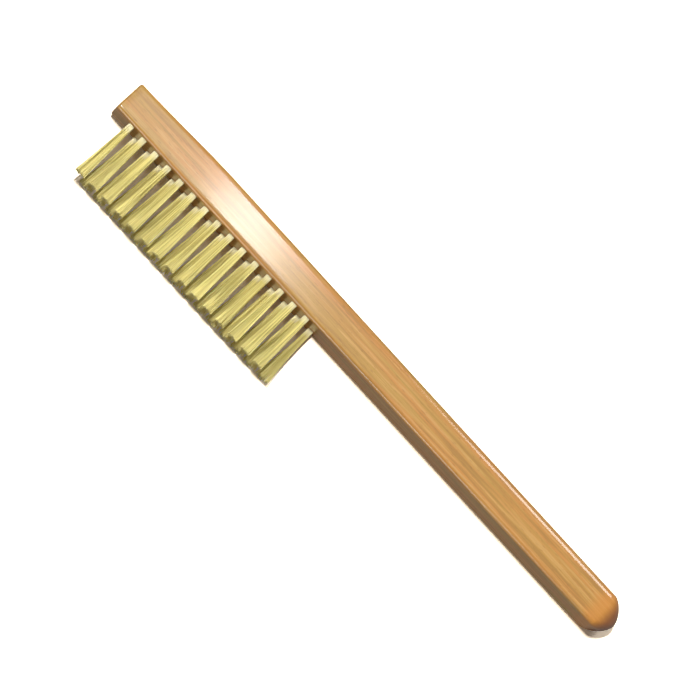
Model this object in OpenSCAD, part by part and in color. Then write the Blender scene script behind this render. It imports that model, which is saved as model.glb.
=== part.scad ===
// Hand wire brush with a wooden stick handle and two staggered rows of brass wire tufts.
//
// The brush lies on one side: +X runs along the handle from the head end to the butt, the
// bristles point to -Y, the back faces +Y, and +Z is up. The origin is at the middle of the
// bounding box's bottom face. Sizes are in millimetres.

/* [Wooden handle] */
// Overall length
handle_length = 300; // [260:5:340]
// Depth of the stick, along the bristles
handle_depth = 17; // [15:0.5:20]
// Width of the stick, across the two rows
handle_width = 16.5; // [15:0.5:20]
// Rounding of the four long edges
edge_radius = 2.5; // [1.5:0.25:3.5]
// Rounding of the corners at the head end
head_radius = 2; // [1:0.25:4]
// Rounding of the corners at the butt
butt_radius = 7; // [4:0.5:7]
// How far the ball that domes the butt is clear of the long edges
dome_clearance = 1.4; // [1:0.2:3]

/* [Bristles] */
// Tufts in each of the two rows
tufts_per_row = 15; // [8:1:15]
// Distance between neighbouring tufts of a row
tuft_pitch = 7.65; // [7.2:0.05:9]
// Distance between the two rows
row_spacing = 8; // [6.4:0.1:8.5]
// How far the lower row is set towards the handle
row_stagger = 5.5; // [3:0.1:5.5]
// Head end to the first tuft of the upper row
first_tuft = 10; // [8:0.5:14]
// Free length of the wires, from the wood to the tips
trim_length = 29.5; // [15:0.5:40]
// Diameter of a tuft where it leaves the wood
root_diameter = 3.2; // [2.8:0.1:3.6]
// Diameter of the spread wires at the tips
tip_diameter = 6.4; // [4:0.1:6.4]

/* [Anchors] */
// Depth of the blind hole that holds a tuft
hole_depth = 10; // [8:0.5:12]
// Thickness of the flat anchor wire
anchor_thickness = 0.4; // [0.3:0.05:0.6]
// Height of an anchor, along the hole
anchor_height = 2; // [1.5:0.1:2.5]
// Bite of an anchor into the wood on each side of the hole
anchor_bite = 0.4; // [0.2:0.05:0.5]
// Angle of the anchors to the handle
anchor_angle = 45; // [0:5:90]
// Wire folded under the anchor, at the bottom of the hole
fold_thickness = 0.8; // [0.5:0.1:1.2]

/* [Hidden] */
$fn = 64;

// The rows, from the one on top to the one at the floor
UPPER = 0;
LOWER = 1;
ROW_NAMES = ["upper", "lower"];
tuft_numbers = [1 : tufts_per_row];

// The middle of the stick's section, with the bounding box's bottom centre at the origin
section_y = trim_length / 2;
section_z = handle_width / 2;
drilled_face_y = section_y - handle_depth / 2;

// The ball that domes the butt holds the stick's section with its rounded edges
edge_centre = [handle_depth / 2 - edge_radius, handle_width / 2 - edge_radius];
dome_radius = norm(edge_centre) + edge_radius + dome_clearance;

anchor_width = root_diameter + 2 * anchor_bite;
cut = 0.5; // how far a cutting tool reaches past a surface

function two_digits(n) = n < 10 ? str("0", n) : str(n);
function tuft_name(row, n) = str("tuft_", ROW_NAMES[row], "_", two_digits(n));
function anchors_name(row) = str("anchors_", ROW_NAMES[row], "_row");

function tuft_x(row, n) =
    first_tuft + (n - 1) * tuft_pitch + (row == LOWER ? row_stagger : 0) - handle_length / 2;
function row_z(row) = section_z + (row == UPPER ? 1 : -1) * row_spacing / 2;

// A rectangle from x = 0 to length, centred on y = 0, with round corners of one radius at
// its start and another at its end
module rounded_rectangle(length, width, start_radius, end_radius) {
    difference() {
        translate([0, -width / 2]) square([length, width]);
        for (side = [-1, 1]) {
            translate([start_radius, side * (width / 2 - start_radius)])
                corner_waste(start_radius, -1, side);
            translate([length - end_radius, side * (width / 2 - end_radius)])
                corner_waste(end_radius, 1, side);
        }
    }
}

// What is cut off a square corner to round it: the arc's centre is at the origin, and the
// corner lies towards x_side and y_side
module corner_waste(radius, x_side, y_side) {
    difference() {
        towards_corner(x_side, y_side) square(radius + cut);
        circle(radius);
    }
}

// Mirrors a shape in the first quadrant into the one towards x_side and y_side
module towards_corner(x_side, y_side) {
    mirror([x_side < 0 ? 1 : 0, 0]) mirror([0, y_side < 0 ? 1 : 0]) children();
}

// The stick's section, extruded along X
module square_stick() {
    translate([-handle_length / 2 - cut, section_y, section_z])
        rotate([90, 0, 90])
        linear_extrude(handle_length + 2 * cut)
        translate([-handle_depth / 2, 0])
        rounded_rectangle(handle_depth, handle_width, edge_radius, edge_radius);
}

// The stick's outline with both ends rounded, of a given width, extruded through a height
module end_outline(width, height) {
    translate([-handle_length / 2, 0, -height / 2])
        linear_extrude(height)
        rounded_rectangle(handle_length, width, head_radius, butt_radius);
}

// A rod round the stick with a ball-shaped end. The ball takes the corners off the butt and
// passes just outside the middle of its end.
module domed_rod() {
    ball_centre = handle_length + cut - dome_radius;
    translate([-handle_length / 2, section_y, section_z])
        rotate([0, 90, 0])
        rotate_extrude()
        intersection() {
            translate([0, -cut]) square([dome_radius, handle_length + 2 * cut]);
            union() {
                translate([0, -cut]) square([dome_radius, ball_centre + cut]);
                translate([0, ball_centre]) circle(dome_radius);
            }
        }
}

// The stick with its ends rounded in both views and its butt domed
module rounded_stick() {
    intersection() {
        square_stick();
        domed_rod();
        translate([0, section_y, section_z])
            end_outline(handle_depth, handle_width + 2 * cut);
        translate([0, section_y, section_z])
            rotate([90, 0, 0])
            end_outline(handle_width, handle_depth + 2 * cut);
    }
}

// Places its children at a tuft: the tuft's root at the origin, its wires along +Z
module at_tuft(row, n) {
    translate([tuft_x(row, n), drilled_face_y, row_z(row)]) rotate([90, 0, 0]) children();
}

// A flat piece of wire across the bottom of a hole
module anchor() {
    translate([0, 0, fold_thickness - hole_depth + anchor_height / 2])
        rotate([0, 0, anchor_angle])
        cube([anchor_width, anchor_thickness, anchor_height], center = true);
}

// The blind hole of a tuft with the slits that its anchor cuts
module tuft_hole() {
    translate([0, 0, -hole_depth]) cylinder(h = hole_depth + cut, d = root_diameter);
    anchor();
}

// The stick, drilled for all tufts
module wooden_handle() {
    color("#CDA069")
    difference() {
        rounded_stick();
        for (row = [UPPER, LOWER]) for (n = tuft_numbers) at_tuft(row, n) tuft_hole();
    }
}

// The outside of one bundle of folded wires: straight in its hole, then spreading a little
module tuft(row, n) {
    color("#D8C874")
    at_tuft(row, n)
    difference() {
        rotate_extrude()
            polygon([
                [0, -hole_depth],
                [root_diameter / 2, -hole_depth],
                [root_diameter / 2, 0],
                [tip_diameter / 2, trim_length],
                [0, trim_length]
            ]);
        anchor();
    }
}

// The anchors of one row, each a separate solid
module anchor_row(row) {
    color("silver")
    for (n = tuft_numbers) at_tuft(row, n) anchor();
}

wooden_handle();
for (row = [UPPER, LOWER]) {
    for (n = tuft_numbers) tuft(row, n);
    anchor_row(row);
}
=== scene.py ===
import math
import random

import bmesh
import bpy
from mathutils import Matrix, Vector


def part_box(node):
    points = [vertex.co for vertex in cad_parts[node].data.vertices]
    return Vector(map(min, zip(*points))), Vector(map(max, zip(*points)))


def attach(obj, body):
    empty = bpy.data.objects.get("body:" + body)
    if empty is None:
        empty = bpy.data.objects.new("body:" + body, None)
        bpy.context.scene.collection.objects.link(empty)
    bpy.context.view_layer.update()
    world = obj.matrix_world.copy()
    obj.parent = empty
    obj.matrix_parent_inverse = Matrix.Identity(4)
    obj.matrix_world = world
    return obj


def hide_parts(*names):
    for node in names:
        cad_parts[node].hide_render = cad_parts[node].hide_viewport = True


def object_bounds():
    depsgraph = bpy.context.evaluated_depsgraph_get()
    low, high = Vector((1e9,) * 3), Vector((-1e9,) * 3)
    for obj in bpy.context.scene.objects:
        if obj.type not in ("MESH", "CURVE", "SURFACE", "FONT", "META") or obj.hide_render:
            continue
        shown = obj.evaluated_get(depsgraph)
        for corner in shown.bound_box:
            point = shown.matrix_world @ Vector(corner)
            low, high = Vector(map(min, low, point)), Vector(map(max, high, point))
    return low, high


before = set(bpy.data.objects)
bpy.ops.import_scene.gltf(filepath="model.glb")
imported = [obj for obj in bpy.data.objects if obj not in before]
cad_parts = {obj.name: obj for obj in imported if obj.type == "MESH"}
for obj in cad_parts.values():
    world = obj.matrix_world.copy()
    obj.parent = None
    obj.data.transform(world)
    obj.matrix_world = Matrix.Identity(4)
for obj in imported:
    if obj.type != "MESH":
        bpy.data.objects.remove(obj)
cad_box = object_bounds()

MM = 0.001
ROWS = ("upper", "lower")

# The wooden stick, from its CAD node
HANDLE_LOW, HANDLE_HIGH = (Vector(corner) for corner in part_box("wooden_handle"))
HANDLE_CENTRE = (HANDLE_LOW + HANDLE_HIGH) / 2
HANDLE_LENGTH = HANDLE_HIGH.x - HANDLE_LOW.x
BRISTLE_LENGTH = HANDLE_LOW.y - cad_box[0][1]

# How the stick is shaped by hand
HEAD_EDGE_RADIUS = 1.8 * MM      # long edges at the head end
GRIP_FRONT_RADIUS = 2.2 * MM     # long edges on the bristles' side, towards the butt
GRIP_BACK_RADIUS = 4.0 * MM      # long edges of the back, towards the butt
HEAD_END_RADIUS = 1.0 * MM       # rounding round the head's end face
BUTT_DOME_LENGTH = 9 * MM
BUTT_DOME_POWER = 1.7            # 2 is an ellipse, and less is more pointed
EDGE_GROWTH = 1.3                # the edges reach their full radius at 1 / 1.3 of the length
HEAD_TAPER_LENGTH = 55 * MM
LOW_SIDES_TAPER = Vector((0.5, 1.8)) * MM    # the front and the lower side, at the head end
HIGH_SIDES_TAPER = Vector((1.4, 0.4)) * MM   # the back and the upper side
LARGEST_CORNER = 0.98            # largest edge radius, to half the section's shorter side

# How finely the stick is divided
CORNER_STEPS = 10
SIDE_SHARES = (0.03, 0.2, 0.4, 0.6, 0.8, 0.97)   # points along a straight side of the section
HEAD_RINGS = 7
BODY_SPANS = 116
DOME_STEPS = 16
END_RING_SHARES = (0.75, 0.5, 0.25)   # rings across an end, as shares of its outline
DRILL_SIDES = 28
STICK_SHARP_ANGLE = math.radians(38)

# The tufts: the holes are a little wider than the bundles, and the anchors are as in CAD
HOLE_RADIUS = 1.65 * MM
HOLE_DEPTH = 10.0 * MM
DRILL_CLEARANCE = 2 * MM         # how far the drill reaches out of the wood
ANCHOR_TURN = math.radians(45)
ANCHOR_TOP = 7.2 * MM            # depth of the anchor's upper edge in the hole
ANCHOR_FOOT = 9.2 * MM           # depth of its lower edge, which the wires fold round
ANCHOR_HALF_THICKNESS = 0.2 * MM
WIRE_RADIUS = 0.16 * MM
WIRE_SPACING = 0.345 * MM        # between wires packed in a hole
BUNDLE_RADIUS = 1.43 * MM        # to the centres of the outermost wires
WIRE_SIDES = 6
WIRE_SHARP_ANGLE = math.radians(62)
RING_GUIDE = Vector((1, 0, 0.2))      # a wire is never parallel to it
STRAND_SHARES = (1, 0.86, 0.72, 0.58, 0.44, 0.3, 0.16, 0.05)   # of the free length, from its tip
STRAIGHT_DEPTH = 1.5 * MM        # below it the strands make way for the anchor
FOLD_STEPS = 4
TIP_SPREAD = {"upper": (1.6, 1.8), "lower": (2.4, 2.6)}   # how many times wider at the tips
SPREAD_POWER = {"upper": 1.6, "lower": 2.2}     # more than 1 spreads late, towards the tips
TIP_SCATTER = 0.2 * MM           # how far a tip strays from its even place in the bundle
BOW_SHARE = 0.5                  # how far a strand bows, compared with that
TRIM_SCATTER = 0.15 * MM         # how much shorter than the rest a strand is cut
STRAYS = 0.05                    # share of the strands that lean out of their bundle
STRAY_LEAN = 3                   # how many times further they lean
TUFT_TONES_AND_SHADE = {"upper": (0.85, 1), "lower": (0.6, 0.88)}   # the lower tufts are painted duller: painted shade under the upper row
TUFT_SEED = 41


# ---------------------------------------------------------------- helpers


def smoothstep(x):
    x = min(max(x, 0.0), 1.0)
    return x * x * (3 - 2 * x)


def mix(a, b, share):
    return a + (b - a) * share


def mesh_object(name, bm):
    """A new object from a bmesh, which is freed."""
    mesh = bpy.data.meshes.new(name)
    bm.to_mesh(mesh)
    bm.free()
    piece = bpy.data.objects.new(name, mesh)
    bpy.context.scene.collection.objects.link(piece)
    return piece


def bridge(bm, ring_a, ring_b):
    """Quads between two rings of as many vertices."""
    count = len(ring_a)
    for i in range(count):
        j = (i + 1) % count
        bm.faces.new((ring_a[i], ring_a[j], ring_b[j], ring_b[i]))


# ---------------------------------------------------------------- the stick


def corner_arc(low, high, radius, quarter):
    """The points of a round corner of the section. Quarter 0 lies towards +Y and +Z."""
    y = high.x - radius if quarter in (0, 3) else low.x + radius
    z = high.y - radius if quarter in (0, 1) else low.y + radius
    turns = [quarter + step / CORNER_STEPS for step in range(CORNER_STEPS + 1)]
    angles = [turn * math.pi / 2 for turn in turns]
    return [Vector((y, z)) + radius * Vector((math.cos(a), math.sin(a))) for a in angles]


def section_points(low, high, front_radius, back_radius):
    """A rectangle with round corners in the YZ plane, as (y, z) points in order. The points
    at both ends of a straight side are close to the corners, which keeps the side flat."""
    radii = (back_radius, front_radius, front_radius, back_radius)
    arcs = [corner_arc(low, high, radii[quarter], quarter) for quarter in range(4)]
    points = []
    for quarter, arc in enumerate(arcs):
        next_start = arcs[(quarter + 1) % 4][0]
        points += arc
        points += [arc[-1].lerp(next_start, share) for share in SIDE_SHARES]
    return points


def stick_section(x):
    """The section at a distance x from the head end: its low and high (y, z) corners, and the
    radii of its front and back edges."""
    taper = 1 - smoothstep(x / HEAD_TAPER_LENGTH)
    low = HANDLE_LOW.yz + taper * LOW_SIDES_TAPER
    high = HANDLE_HIGH.yz - taper * HIGH_SIDES_TAPER
    if x < HEAD_END_RADIUS:
        rise = math.sqrt(HEAD_END_RADIUS**2 - (HEAD_END_RADIUS - x) ** 2)
        draw_in = Vector((1, 1)) * (HEAD_END_RADIUS - rise)
        low += draw_in
        high -= draw_in
    grip = smoothstep(x / HANDLE_LENGTH * EDGE_GROWTH)
    radii = [mix(HEAD_EDGE_RADIUS, r, grip) for r in (GRIP_FRONT_RADIUS, GRIP_BACK_RADIUS)]
    dome = (x - (HANDLE_LENGTH - BUTT_DOME_LENGTH)) / BUTT_DOME_LENGTH
    if dome > 0:
        dome = min(dome, 1)
        scale = (1 - dome**BUTT_DOME_POWER) ** (1 / BUTT_DOME_POWER)
        centre = (low + high) / 2
        low = centre.lerp(low, scale)
        high = centre.lerp(high, scale)
        round_end = min(high - low) / 2
        radii = [mix(r * scale, round_end, dome) for r in radii]
    largest = LARGEST_CORNER * min(high - low) / 2
    return low, high, *(min(r, largest) for r in radii)


def stick_stations():
    """Distances from the head end of the rings: closer together where the ends curve."""
    body_end = HANDLE_LENGTH - BUTT_DOME_LENGTH
    head_angles = [math.pi / 2 * i / HEAD_RINGS for i in range(HEAD_RINGS)]
    dome_angles = [math.pi / 2 * i / DOME_STEPS for i in range(1, DOME_STEPS)]
    head = [HEAD_END_RADIUS * (1 - math.cos(angle)) for angle in head_angles]
    body = [mix(HEAD_END_RADIUS, body_end, i / BODY_SPANS) for i in range(BODY_SPANS + 1)]
    dome = [body_end + BUTT_DOME_LENGTH * math.sin(angle) for angle in dome_angles]
    return head + body + dome


def stick_mesh():
    """The stick before it is drilled: rings along its length, closed at both ends."""
    bm = bmesh.new()
    rings = []
    for x in stick_stations():
        ring = []
        for y, z in section_points(*stick_section(x)):
            ring.append(bm.verts.new((HANDLE_LOW.x + x, y, z)))
        rings.append(ring)
    for ring_a, ring_b in zip(rings, rings[1:]):
        bridge(bm, ring_a, ring_b)
    close_end(bm, rings[0], HANDLE_LOW.x)
    close_end(bm, rings[-1], HANDLE_HIGH.x)
    bmesh.ops.recalc_face_normals(bm, faces=bm.faces)
    return bm


def close_end(bm, ring, x):
    """Smaller and smaller rings across an end, and a fan in its middle."""
    centre = Vector((x, HANDLE_CENTRE.y, HANDLE_CENTRE.z))
    outer = ring
    for share in END_RING_SHARES:
        points = [vert.co.lerp(centre, 1 - share) for vert in ring]
        inner = [bm.verts.new(Vector((mix(x, p.x, share), p.y, p.z))) for p in points]
        bridge(bm, outer, inner)
        outer = inner
    middle = bm.verts.new(centre)
    for i in range(len(outer)):
        bm.faces.new((outer[i], outer[(i + 1) % len(outer)], middle))


def tuft_places():
    """Each tuft's CAD node, with the point on the drilled face where it leaves the wood."""
    places = {}
    for name in sorted(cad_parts):
        if name.startswith("tuft_"):
            low, high = (Vector(corner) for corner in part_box(name))
            middle = (low + high) / 2
            places[name] = Vector((middle.x, HANDLE_LOW.y, middle.z))
    return places


def drill_mesh(places):
    """One tool for all the tufts' holes: closed cylinders that reach past the drilled face."""
    bm = bmesh.new()
    length = HOLE_DEPTH + DRILL_CLEARANCE
    for place in places.values():
        centre = place + Vector((0, HOLE_DEPTH - length / 2, 0))
        turn = Matrix.Translation(centre) @ Matrix.Rotation(math.pi / 2, 4, "X")
        bmesh.ops.create_cone(
            bm, cap_ends=True, segments=DRILL_SIDES, radius1=HOLE_RADIUS, radius2=HOLE_RADIUS,
            depth=length, matrix=turn,
        )
    return bm


def make_stick(places):
    """The drilled stick, in the place of its CAD node."""
    stick = mesh_object("stick", stick_mesh())
    drill = mesh_object("drill", drill_mesh(places))
    cut = stick.modifiers.new("holes", "BOOLEAN")
    cut.operation = "DIFFERENCE"
    cut.solver = "EXACT"
    cut.object = drill
    drilled = bpy.data.meshes.new_from_object(
        stick.evaluated_get(bpy.context.evaluated_depsgraph_get())
    )
    stick.modifiers.clear()
    stick.data = drilled
    bpy.data.objects.remove(drill)
    drilled.shade_smooth()
    drilled.set_sharp_from_angle(angle=STICK_SHARP_ANGLE)
    stick.data.materials.clear()
    stick.data.materials.append(beech_material())
    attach(stick, "root")
    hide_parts("wooden_handle")


# ---------------------------------------------------------------- the tufts


def packed_wires():
    """Places of the strands in a bundle on one side of the anchor: (along it, away from it)."""
    row_step = WIRE_SPACING * math.sqrt(3) / 2
    strands = []
    row = 0
    away = WIRE_SPACING / 2
    while away <= BUNDLE_RADIUS:
        reach = math.sqrt(BUNDLE_RADIUS**2 - away**2)
        shift = WIRE_SPACING / 2 * (row % 2)
        first = -int((reach + shift) / WIRE_SPACING)
        count = int((reach - shift) / WIRE_SPACING)
        strands += [(shift + i * WIRE_SPACING, away) for i in range(first, count + 1)]
        row += 1
        away += row_step
    return strands


def strand_points(rng, along, away, tip_spread, power):
    """A strand from its tip down to the anchor's top, as (along, away, height) points. Height
    is from the drilled face, upwards to the tip."""
    lean = Vector((rng.gauss(0, TIP_SCATTER), rng.gauss(0, TIP_SCATTER)))
    bow = Vector((rng.gauss(0, TIP_SCATTER), rng.gauss(0, TIP_SCATTER))) * BOW_SHARE
    if rng.random() < STRAYS:
        lean *= STRAY_LEAN
    tip_height = BRISTLE_LENGTH - abs(rng.gauss(0, TRIM_SCATTER))
    points = []
    for share in STRAND_SHARES:
        spread = mix(1, tip_spread, share**power)
        offset = lean * share + bow * math.sin(math.pi * share)
        points.append((along * spread + offset.x, away * spread + offset.y, tip_height * share))
    points.append((along, away, -STRAIGHT_DEPTH))
    points.append((along, held_away(away), -ANCHOR_TOP))
    return points


def held_away(away):
    """How far a strand is from the anchor's middle plane where it passes the anchor."""
    free = BUNDLE_RADIUS - WIRE_SPACING / 2
    clear = ANCHOR_HALF_THICKNESS + WIRE_RADIUS
    room = BUNDLE_RADIUS - clear
    sign = 1 if away > 0 else -1
    return sign * (clear + (abs(away) - WIRE_SPACING / 2) / free * room)


def fold_points(along, away):
    """The bend of a wire under the anchor, from one side of it to the other."""
    half = held_away(away)
    sink = WIRE_RADIUS + (half - WIRE_RADIUS) / BUNDLE_RADIUS * (HOLE_DEPTH - ANCHOR_FOOT)
    sink = min(sink, HOLE_DEPTH - ANCHOR_FOOT - WIRE_RADIUS)
    points = []
    for step in range(FOLD_STEPS + 1):
        angle = math.pi * step / FOLD_STEPS
        points.append((along, half * math.cos(angle), -ANCHOR_FOOT - sink * math.sin(angle)))
    return points


def sweep_wire(bm, path, tone, layers):
    """A round wire along a path, with flat cut ends."""
    tone_layer, reach_layer, cut_layer = layers
    rings = []
    for index, point in enumerate(path):
        ahead = path[min(index + 1, len(path) - 1)]
        behind = path[max(index - 1, 0)]
        heading = (ahead - behind).normalized()
        across = heading.cross(RING_GUIDE).normalized()
        other = heading.cross(across)
        reach = max(0.0, HANDLE_LOW.y - point.y) / BRISTLE_LENGTH
        ring = []
        for side in range(WIRE_SIDES):
            angle = 2 * math.pi * side / WIRE_SIDES
            offset = across * math.cos(angle) + other * math.sin(angle)
            vert = bm.verts.new(point + offset * WIRE_RADIUS)
            vert[tone_layer] = tone
            vert[reach_layer] = reach
            ring.append(vert)
        rings.append(ring)
    for ring_a, ring_b in zip(rings, rings[1:]):
        bridge(bm, ring_a, ring_b)
    for end in (bm.faces.new(reversed(rings[0])), bm.faces.new(rings[-1])):
        end[cut_layer] = 1


def tuft_mesh(place, row, seed):
    """A bundle of wires, each folded in half round the anchor at the bottom of the hole."""
    rng = random.Random(seed)
    bm = bmesh.new()
    layers = (
        bm.verts.layers.float.new("wire_tone_and_shade"),
        bm.verts.layers.float.new("wire_reach"),
        bm.faces.layers.float.new("wire_cut"),
    )
    turn = Matrix.Rotation(ANCHOR_TURN, 2)
    # random tone per tuft; the lower row's darker range is painted shade
    tuft_tone_and_shade = rng.uniform(*TUFT_TONES_AND_SHADE[row])
    shape = rng.uniform(*TIP_SPREAD[row]), SPREAD_POWER[row]
    for along, away in packed_wires():
        going = strand_points(rng, along, away, *shape)
        coming = strand_points(rng, along, -away, *shape)
        path = []
        for *offset, height in going + fold_points(along, away) + coming[::-1]:
            sideways = turn @ Vector(offset)
            point = place + Vector((sideways.x, -height, sideways.y))
            point.z = max(point.z, HANDLE_LOW.z + WIRE_RADIUS)   # it rests on the ground
            path.append(point)
        sweep_wire(bm, path, tuft_tone_and_shade * math.sqrt(rng.random()), layers)
    bmesh.ops.recalc_face_normals(bm, faces=bm.faces)
    return bm


def make_tufts(places, material):
    """Every tuft's wires, in the place of its CAD node."""
    for index, (name, place) in enumerate(places.items()):
        row = next(row for row in ROWS if row in name)
        wires = mesh_object("wires_" + name, tuft_mesh(place, row, TUFT_SEED + index))
        wires.data.shade_smooth()
        wires.data.set_sharp_from_angle(angle=WIRE_SHARP_ANGLE)
        wires.data.materials.append(material)
        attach(wires, "root")
        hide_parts(name)


# ---------------------------------------------------------------- materials

# Colours of the beech, in linear light
GOLDEN_WOOD = (0.46, 0.265, 0.06)
REDDISH_WOOD = (0.54, 0.245, 0.06)
DARK_STREAK = (0.36, 0.185, 0.045)
PALE_STREAK = (0.60, 0.345, 0.11)
DARK_FIBRE = (0.33, 0.165, 0.05)
BROWN_FLECK = (0.25, 0.11, 0.035)
ORANGE_END = (0.58, 0.235, 0.045)
# brown of the end grain, with painted shade where the butt's dome turns away from the light
END_GRAIN_AND_SHADE_BROWN = (0.21, 0.08, 0.05)

# How far from the butt the end grain's orange, and its brown with painted shade, start and are
# at their strongest
ORANGE_START = 18 * MM
ORANGE_FULL = 11 * MM
BROWN_START = 9.5 * MM
BROWN_FULL = 3 * MM

# Colours of the brass and of the anchors
DULL_BRASS = (0.42, 0.33, 0.08)
BRIGHT_BRASS = (1.0, 0.9, 0.35)
# painted highlight: the pale brass at the wires' roots
ROOT_HIGHLIGHT_BRASS = (0.98, 0.93, 0.68)
# painted light: the brass brightens towards the tips, where the spread wires catch less of the
# lamps
TIP_LIGHT_BRASS = (1.0, 0.9, 0.38)
CUT_BRASS = (1.0, 0.95, 0.6)
DARK_STEEL = (0.42, 0.42, 0.40)
PALE_STEEL = (0.62, 0.62, 0.60)


class Nodes:
    """A short way to add and join a material's nodes."""

    def __init__(self, name):
        self.material = bpy.data.materials.new(name)
        self.material.use_nodes = True
        self.tree = self.material.node_tree
        self.shader = self.tree.nodes["Principled BSDF"]
        self.place = self.tree.nodes.new("ShaderNodeTexCoord").outputs["Object"]

    def join(self, value, socket):
        """Links a socket to an input, or sets the input to a value."""
        if isinstance(value, bpy.types.NodeSocket):
            self.tree.links.new(value, socket)
        else:
            socket.default_value = value

    def stretched(self, scale, shift=(0, 0, 0)):
        """The place on the object, scaled by a number for each axis."""
        node = self.tree.nodes.new("ShaderNodeMapping")
        self.join(self.place, node.inputs["Vector"])
        node.inputs["Scale"].default_value = scale
        node.inputs["Location"].default_value = shift
        return node.outputs["Vector"]

    def noise(self, vector, detail=2.0, roughness=0.5, distortion=0.0):
        """Noise whose scale is all in its vector."""
        node = self.tree.nodes.new("ShaderNodeTexNoise")
        self.join(vector, node.inputs["Vector"])
        node.inputs["Scale"].default_value = 1.0
        node.inputs["Detail"].default_value = detail
        node.inputs["Roughness"].default_value = roughness
        node.inputs["Distortion"].default_value = distortion
        return node.outputs["Fac"]

    def ramp(self, value, low, high, out_low=0.0, out_high=1.0):
        """Maps low..high to out_low..out_high, smoothly and within those limits."""
        node = self.tree.nodes.new("ShaderNodeMapRange")
        node.interpolation_type = "SMOOTHSTEP"
        self.join(value, node.inputs["Value"])
        node.inputs["From Min"].default_value = low
        node.inputs["From Max"].default_value = high
        node.inputs["To Min"].default_value = out_low
        node.inputs["To Max"].default_value = out_high
        return node.outputs["Result"]

    def blend(self, share, first, second):
        """Mixes two colours, each a socket or an (r, g, b) of linear numbers."""
        node = self.tree.nodes.new("ShaderNodeMix")
        node.data_type = "RGBA"
        self.join(share, node.inputs["Factor"])
        for value, label in ((first, "A"), (second, "B")):
            socket = next(s for s in node.inputs if s.name == label and s.type == "RGBA")
            self.join(value if isinstance(value, bpy.types.NodeSocket) else (*value, 1), socket)
        return next(s for s in node.outputs if s.type == "RGBA")

    def axis(self, letter):
        """The place on the object along X, Y or Z, in metres."""
        node = self.tree.nodes.new("ShaderNodeSeparateXYZ")
        self.join(self.place, node.inputs["Vector"])
        return node.outputs[letter]

    def attribute(self, name):
        """A number that the mesh carries for each point or face."""
        node = self.tree.nodes.new("ShaderNodeAttribute")
        node.attribute_name = name
        return node.outputs["Fac"]


def beech_material():
    """Lacquered beech: bands, streaks, fibres and short brown flecks along the stick, and end
    grain that drinks more lacquer, so that the butt turns orange and then brown; that last brown
    is end grain together with painted shade where the dome turns away from the light."""
    n = Nodes("lacquered_beech")
    bands = n.noise(n.stretched((9, 230, 230)), detail=3, roughness=0.55, distortion=0.5)
    streaks = n.noise(n.stretched((22, 640, 640), (3, 1, 7)), detail=4, roughness=0.6)
    fibres = n.noise(n.stretched((110, 4200, 4200)), detail=2, roughness=0.6)
    flecks = n.noise(n.stretched((330, 2300, 2300), (5, 2, 1)), detail=1, roughness=0.4)

    colour = n.blend(n.ramp(bands, 0.4, 0.6), GOLDEN_WOOD, REDDISH_WOOD)
    colour = n.blend(n.ramp(streaks, 0.38, 0.52, 0.75, 0), colour, DARK_STREAK)
    colour = n.blend(n.ramp(streaks, 0.52, 0.66, 0, 0.7), colour, PALE_STREAK)
    colour = n.blend(n.ramp(fibres, 0.3, 0.75, 0, 0.25), colour, DARK_FIBRE)
    colour = n.blend(n.ramp(flecks, 0.62, 0.74, 0, 0.45), colour, BROWN_FLECK)

    along = n.axis("X")
    butt = HANDLE_HIGH.x
    orange = n.ramp(along, butt - ORANGE_START, butt - ORANGE_FULL, 0, 0.7)
    colour = n.blend(orange, colour, ORANGE_END)
    # end grain and painted shade: the last millimetres of the butt go dark brown
    brown = n.ramp(along, butt - BROWN_START, butt - BROWN_FULL, 0, 0.75)
    colour = n.blend(brown, colour, END_GRAIN_AND_SHADE_BROWN)
    n.join(colour, n.shader.inputs["Base Color"])

    n.join(n.ramp(fibres, 0.2, 0.8, 0.38, 0.52), n.shader.inputs["Roughness"])
    n.shader.inputs["Coat Weight"].default_value = 1.0
    n.shader.inputs["Coat Roughness"].default_value = 0.15
    n.shader.inputs["Specular IOR Level"].default_value = 0.25
    return n.material


def brass_material():
    """Drawn brass wire: each wire has its own tone, and the lower row's is painted darker as
    shade; it is paler at its root as a painted highlight, bright towards its tip as painted
    light, and matt at its cut."""
    n = Nodes("brass_wire")
    tone = n.attribute("wire_tone_and_shade")
    reach = n.attribute("wire_reach")
    colour = n.blend(tone, DULL_BRASS, BRIGHT_BRASS)
    # painted highlight: paler brass near the roots
    colour = n.blend(n.ramp(reach, 0.0, 0.15, 0.8, 0.0), colour, ROOT_HIGHLIGHT_BRASS)
    # painted light: brighter brass towards the tips
    colour = n.blend(n.ramp(reach, 0.5, 1.0, 0.0, 0.55), colour, TIP_LIGHT_BRASS)
    cut = n.attribute("wire_cut")
    colour = n.blend(cut, colour, CUT_BRASS)
    n.join(colour, n.shader.inputs["Base Color"])
    smudges = n.noise(n.stretched((500, 500, 500)), detail=2)
    n.join(n.ramp(smudges, 0.3, 0.7, 0.34, 0.48), n.shader.inputs["Roughness"])
    n.join(n.ramp(cut, 0, 1, 0.7, 0.1), n.shader.inputs["Metallic"])
    return n.material


def anchor_material():
    """Flat steel wire with fine drawing marks."""
    n = Nodes("anchor_steel")
    marks = n.noise(n.stretched((900, 9000, 9000)), detail=2)
    n.join(n.blend(marks, DARK_STEEL, PALE_STEEL), n.shader.inputs["Base Color"])
    n.join(n.ramp(marks, 0.3, 0.7, 0.3, 0.5), n.shader.inputs["Roughness"])
    n.shader.inputs["Metallic"].default_value = 1.0
    return n.material


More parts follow.
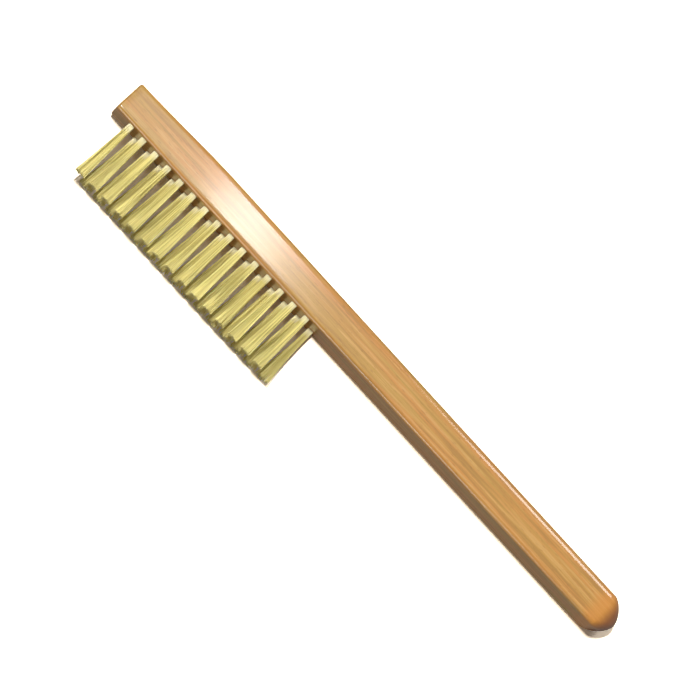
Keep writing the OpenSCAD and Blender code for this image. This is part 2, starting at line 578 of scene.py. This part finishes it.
def floor_material():
    """A matt white sweep, overexposed as in a catalogue photo but with a weaker bounce."""
    n = Nodes("pale_floor")
    add = n.tree.nodes.new
    seen = add("ShaderNodeBsdfDiffuse")
    seen.inputs["Color"].default_value = (*FLOOR_SEEN, 1)
    bounced = add("ShaderNodeBsdfDiffuse")
    bounced.inputs["Color"].default_value = (*FLOOR_BOUNCE, 1)
    choice = add("ShaderNodeMixShader")
    n.join(add("ShaderNodeLightPath").outputs["Is Camera Ray"], choice.inputs["Fac"])
    n.join(bounced.outputs["BSDF"], choice.inputs[1])
    n.join(seen.outputs["BSDF"], choice.inputs[2])
    n.join(choice.outputs["Shader"], n.tree.nodes["Material Output"].inputs["Surface"])
    return n.material


def finish_anchors():
    """The anchors keep their CAD shape and get the look of steel."""
    for row in ROWS:
        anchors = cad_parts[f"anchors_{row}_row"]
        anchors.data.materials.clear()
        anchors.data.materials.append(anchor_material())


# ---------------------------------------------------------------- the stage

# The camera looks down at the brush from its bristle side, turned a little towards the head
CAMERA_DISTANCE = 1.5               # m
CAMERA_TILT = math.radians(17.6)    # from straight down, towards the bristles
CAMERA_SKEW = math.radians(-4.0)    # from straight down, towards the butt
CAMERA_ROLL = math.radians(47.4)    # turns the handle to run from top left to bottom right
CAMERA_LENS = 185.5                 # mm
SENSOR_WIDTH = 36                   # mm
CLIP_START = 0.01                   # m
AIM_OFFSET = Vector((-10.5, -2.7, 0)) * MM   # from the middle of the stick

# The floor's reflectance: as the camera sees it, and as it lights the brush. Above 1 it clips
# to white wherever light falls, so its warm tint shows only in the shadows.
FLOOR_SEEN = (1.9, 1.62, 1.27)
FLOOR_BOUNCE = (0.2, 0.185, 0.17)
FLOOR_HALF_SIZE = 3.0               # m
FLOOR_SEGMENTS = 8
FLOOR_GAP = 0.1 * MM                # below the brush
WORLD_STRENGTH = 0.05

# The lights: each has its (width, height) in metres and its power in watts. The key and the
# front light have a place in metres from the middle of the bristles.
BRISTLES_MIDDLE = 65 * MM           # from the head end
KEY_OFFSET = Vector((-0.68, 0.12, 2.96))
KEY_LIGHT = ((0.4, 0.15), 92)
FRONT_OFFSET = Vector((-0.2, -2.85, 0.45))
FRONT_LIGHT = ((1.6, 0.8), 28)

# The lights that the lacquer mirrors: the glare and the sheen on the upper side, from the head
# end, and the rim light on the rounded edge of the back, from the butt
GLARE_PLACE = 71 * MM
GLARE_LIGHT = ((0.05, 0.03), 0.35)
SHEEN_PLACE = 45 * MM
SHEEN_LIGHT = ((0.2, 0.1), 0.15)
RIM_PLACE = 38 * MM
RIM_LIGHT = ((0.2, 0.55), 3.4)
RIM_TILT = math.radians(17.5)       # of the part of the edge that mirrors it


def add_camera():
    """The camera, turned by its tilt, skew and roll, with the stick in the middle."""
    aim = HANDLE_CENTRE + AIM_OFFSET
    towards = Vector((
        math.sin(CAMERA_SKEW),
        -math.sin(CAMERA_TILT) * math.cos(CAMERA_SKEW),
        math.cos(CAMERA_TILT) * math.cos(CAMERA_SKEW),
    ))
    right = (Vector((1, 0, 0)) - towards * towards.x).normalized()
    up = towards.cross(right)
    turned_right = right * math.cos(CAMERA_ROLL) + up * math.sin(CAMERA_ROLL)
    turned_up = up * math.cos(CAMERA_ROLL) - right * math.sin(CAMERA_ROLL)
    camera = bpy.data.objects.new("camera", bpy.data.cameras.new("camera"))
    camera.data.lens = CAMERA_LENS
    camera.data.sensor_width = SENSOR_WIDTH
    camera.data.clip_start = CLIP_START
    turn = Matrix((turned_right, turned_up, towards)).transposed().to_4x4()
    camera.matrix_world = Matrix.Translation(aim + towards * CAMERA_DISTANCE) @ turn
    bpy.context.scene.collection.objects.link(camera)
    bpy.context.scene.camera = camera


def add_floor():
    """A wide floor just below the brush, as part of the stage."""
    bm = bmesh.new()
    bmesh.ops.create_grid(
        bm, x_segments=FLOOR_SEGMENTS, y_segments=FLOOR_SEGMENTS, size=FLOOR_HALF_SIZE
    )
    floor = mesh_object("floor", bm)
    floor.location.z = HANDLE_LOW.z - FLOOR_GAP
    floor.data.materials.append(floor_material())


def add_light(name, place, aim, size, power):
    """A rectangular soft light at a place, facing a point."""
    lamp = bpy.data.lights.new(name, "AREA")
    lamp.shape = "RECTANGLE"
    lamp.size, lamp.size_y = size
    lamp.energy = power
    light = bpy.data.objects.new(name, lamp)
    light.location = place
    light.rotation_euler = (aim - place).to_track_quat("-Z", "Y").to_euler()
    bpy.context.scene.collection.objects.link(light)


def mirrored(eye, point, normal):
    """Where a light has to be, a metre from a point, to be mirrored there to the eye."""
    view = (eye - point).normalized()
    return point + 2 * view.dot(normal) * normal - view


def light_world():
    """A faint white surround, and colours shown without a film look."""
    scene = bpy.context.scene
    scene.view_settings.view_transform = "Standard"
    world = bpy.data.worlds.new("studio")
    world.use_nodes = True
    backdrop = world.node_tree.nodes["Background"]
    backdrop.inputs["Color"].default_value = (1, 1, 1, 1)
    backdrop.inputs["Strength"].default_value = WORLD_STRENGTH
    scene.world = world


def light_studio():
    """The key light from above and the front light, which brightens the bristles' side."""
    bristles = Vector((HANDLE_LOW.x + BRISTLES_MIDDLE, 0, HANDLE_CENTRE.z))
    add_light("key", bristles + KEY_OFFSET, bristles, *KEY_LIGHT)
    add_light("front", bristles + FRONT_OFFSET, bristles, *FRONT_LIGHT)


def light_lacquer():
    """Small lights at the places where the lacquer mirrors them to the camera."""
    eye = bpy.context.scene.camera.matrix_world.translation
    upright = Vector((0, 0, 1))
    glare = Vector((HANDLE_LOW.x + GLARE_PLACE, HANDLE_CENTRE.y, HANDLE_HIGH.z))
    add_light("glare", mirrored(eye, glare, upright), glare, *GLARE_LIGHT)
    sheen = Vector((HANDLE_LOW.x + SHEEN_PLACE, HANDLE_CENTRE.y, HANDLE_HIGH.z))
    add_light("sheen", mirrored(eye, sheen, upright), sheen, *SHEEN_LIGHT)
    edge = Vector((HANDLE_HIGH.x - RIM_PLACE, HANDLE_HIGH.y, HANDLE_HIGH.z))
    tilted = Vector((0, math.sin(RIM_TILT), math.cos(RIM_TILT)))
    add_light("rim", mirrored(eye, edge, tilted), edge, *RIM_LIGHT)


add_camera()
add_floor()
light_world()
light_studio()
light_lacquer()

places = tuft_places()
make_stick(places)
make_tufts(places, brass_material())
finish_anchors()
